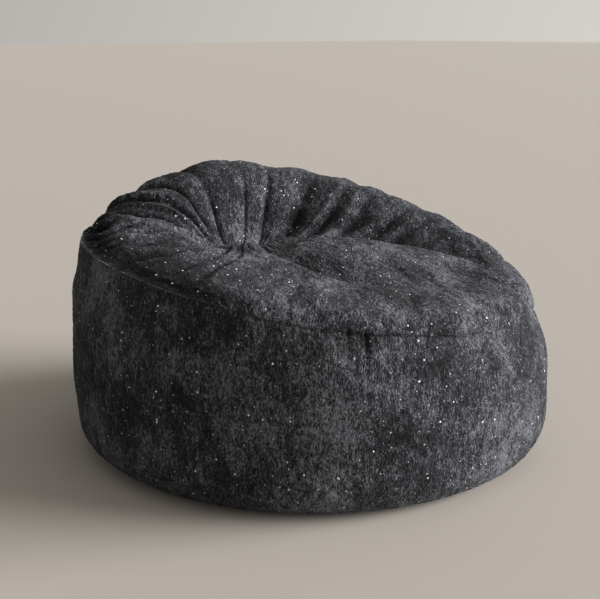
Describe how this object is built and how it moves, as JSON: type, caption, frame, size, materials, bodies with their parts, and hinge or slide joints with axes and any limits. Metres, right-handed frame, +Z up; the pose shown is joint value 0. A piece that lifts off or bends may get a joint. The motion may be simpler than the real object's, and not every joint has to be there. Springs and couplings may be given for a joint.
{
  "type": "bean bag chair",
  "caption": "Round floor seat: a gathered plush cover with a raised back and a sunken seat over a foam-filled liner, both zipped shut at the base.",
  "frame": {"origin": "on the floor under the middle of the bag", "axes": "+Z up, the sitter faces -Y, the raised back is at +Y, and both zippers run along X"},
  "size_m": [0.9807, 0.9805, 0.5397],
  "materials": {
    "plush": "short charcoal plush pile with pale specks",
    "base_cloth": "black woven polyester",
    "liner_cloth": "undyed woven polyester",
    "zip_tape": "black woven tape",
    "liner_zip_tape": "undyed woven tape",
    "zip_teeth": "moulded black acetal",
    "liner_zip_teeth": "moulded white acetal",
    "slider_metal": "black lacquered zinc",
    "foam": "shredded cream foam"
  },
  "bodies": {
    "bag": {"cover_top_panel": "plush", "cover_side_band": "plush", "cover_base_front": "base_cloth", "cover_base_rear": "base_cloth", "cover_zip_tab_left": "base_cloth", "cover_zip_tab_right": "base_cloth", "liner_top_panel": "liner_cloth", "liner_side_band": "liner_cloth", "liner_base_front": "liner_cloth", "liner_base_rear": "liner_cloth", "liner_zip_tab_left": "liner_cloth", "liner_zip_tab_right": "liner_cloth", "cover_zip_tape_front": "zip_tape", "cover_zip_tape_rear": "zip_tape", "liner_zip_tape_front": "liner_zip_tape", "liner_zip_tape_rear": "liner_zip_tape", "cover_zip_teeth_front": "zip_teeth", "cover_zip_teeth_rear": "zip_teeth", "cover_zip_bottom_stop": "zip_teeth", "cover_zip_top_stops": "zip_teeth", "liner_zip_teeth_front": "liner_zip_teeth", "liner_zip_teeth_rear": "liner_zip_teeth", "liner_zip_bottom_stop": "liner_zip_teeth", "liner_zip_top_stops": "liner_zip_teeth", "foam_fill": "foam"},
    "cover_slider": {"cover_zip_slider": "slider_metal"},
    "cover_pull": {"cover_zip_pull": "slider_metal"},
    "liner_slider": {"liner_zip_slider": "slider_metal"}
  },
  "joints": [
    {"name": "cover_zip_run", "type": "slide", "parent": "bag", "child": "cover_slider", "axis": [-1, 0, 0], "range_m": [0, 0.648], "deforming": ["cover_zip_teeth_front", "cover_zip_teeth_rear"]},
    {"name": "cover_pull_swing", "type": "hinge", "parent": "cover_slider", "child": "cover_pull", "pos_m": [0.3255, 0, 0.0057], "axis": [0, -1, 0], "range_deg": [-7, 170]},
    {"name": "liner_zip_run", "type": "slide", "parent": "bag", "child": "liner_slider", "axis": [-1, 0, 0], "range_m": [0, 0.488], "deforming": ["liner_zip_teeth_front", "liner_zip_teeth_rear"]}
  ]
}
